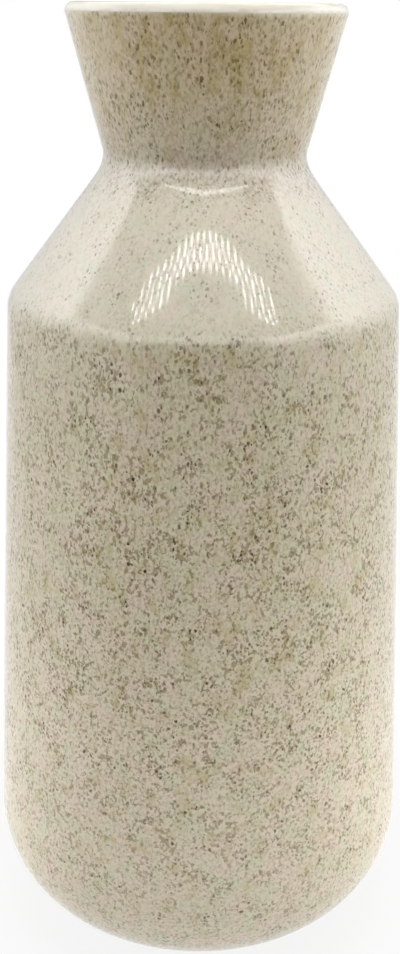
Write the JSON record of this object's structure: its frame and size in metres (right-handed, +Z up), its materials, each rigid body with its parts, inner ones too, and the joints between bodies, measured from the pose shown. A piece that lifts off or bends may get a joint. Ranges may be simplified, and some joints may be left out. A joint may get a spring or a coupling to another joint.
{
  "type": "bottle vase",
  "caption": "Stoneware bottle vase with a straight body, rounded heel, sloping shoulder and flared collar; speckled gloss glaze outside, plain pale liner and lip, bare foot ring.",
  "frame": {"origin": "on the vase's axis, in the plane that the foot ring stands on", "axes": "+Z up along the axis, towards the mouth; the vase is round, so X and Y are free"},
  "size_m": [0.1148, 0.1146, 0.258],
  "materials": {
    "stoneware": "bare fired buff clay, matt, fine grog",
    "joining_slip": "fired clay slip, matt",
    "speckled_glaze": "gloss oatmeal glaze with fine brown specks",
    "pale_liner_glaze": "gloss cream liner glaze, hardly specked"
  },
  "bodies": {
    "root": {"base": "stoneware", "body_wall": "stoneware", "shoulder": "stoneware", "collar": "stoneware", "base_slip": "joining_slip", "shoulder_slip": "joining_slip", "neck_slip": "joining_slip", "outer_glaze": "speckled_glaze", "liner_glaze": "pale_liner_glaze"}
  },
  "joints": []
}
